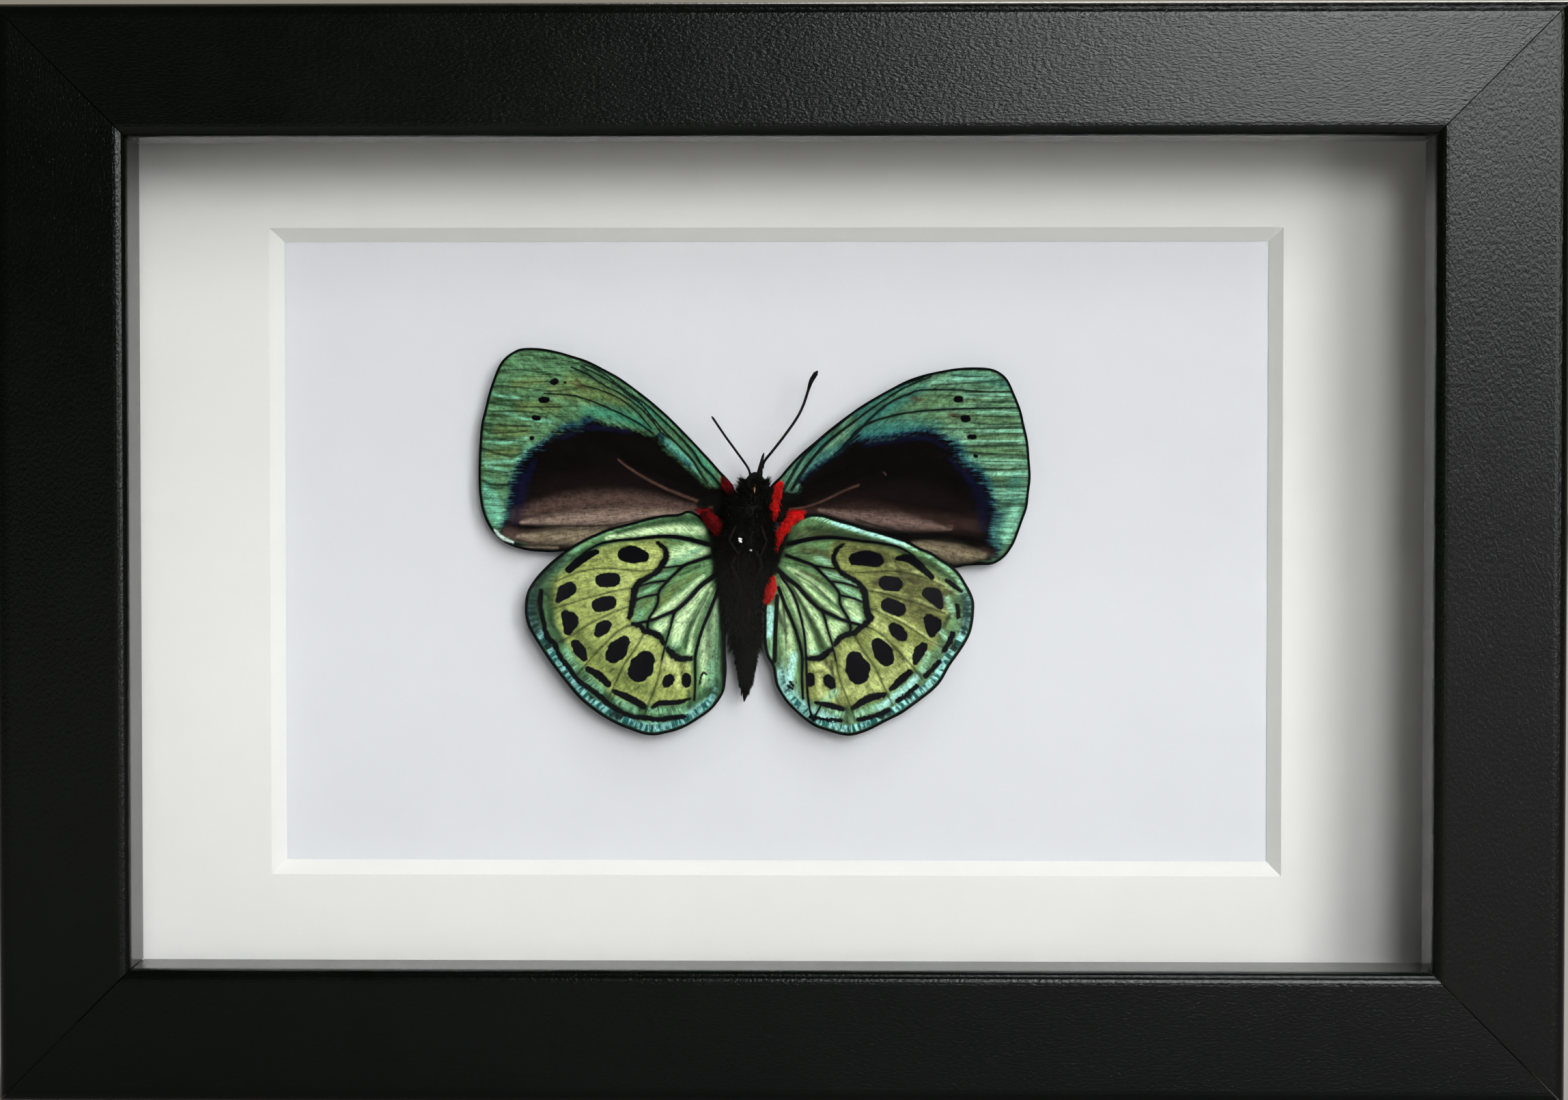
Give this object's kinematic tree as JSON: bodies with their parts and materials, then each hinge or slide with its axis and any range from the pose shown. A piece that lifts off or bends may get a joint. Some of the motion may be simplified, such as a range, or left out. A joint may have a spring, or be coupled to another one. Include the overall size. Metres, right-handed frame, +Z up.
{
  "type": "framed butterfly specimen",
  "caption": "Dried butterfly shown from its patterned green underside on a pale card, behind a bevelled white mat and glass in a small deep black box frame.",
  "frame": {"origin": "middle of the bottom rail's underside, half way through the frame's depth", "axes": "+X to the viewer's right, +Y from the glass towards the wall, +Z up"},
  "size_m": [0.167, 0.032, 0.117],
  "materials": {
    "frame_finish": "black satin stain, fine grain along each rail",
    "glass": "clear picture glass",
    "spacer": "matt black",
    "mat_board": "white mat board with a bevelled window",
    "backing_card": "cool white card, smooth",
    "back_board": "bare hardboard",
    "steel": "bright zinc plate",
    "insect_body": "dark hairy chitin",
    "forewing": "wing scales, green with a dark patch, soft sheen",
    "hindwing": "wing scales, yellow green with black spots, soft sheen",
    "antenna": "dark chitin",
    "glue": "set hot glue"
  },
  "bodies": {
    "root": {"rail_top": "frame_finish", "rail_bottom": "frame_finish", "rail_left": "frame_finish", "rail_right": "frame_finish", "glass": "glass", "spacer_top": "spacer", "spacer_bottom": "spacer", "spacer_left": "spacer", "spacer_right": "spacer", "mat": "mat_board", "backing_card": "backing_card", "back_board": "back_board", "tab_top_1": "steel", "tab_top_2": "steel", "tab_bottom_1": "steel", "tab_bottom_2": "steel", "tab_left": "steel", "tab_right": "steel", "hanger": "steel", "hanger_screw_left": "steel", "hanger_screw_right": "steel", "butterfly_body": "insect_body", "forewing_left": "forewing", "forewing_right": "forewing", "hindwing_left": "hindwing", "hindwing_right": "hindwing", "antenna_left": "antenna", "antenna_right": "antenna", "glue_dot": "glue"}
  },
  "joints": []
}
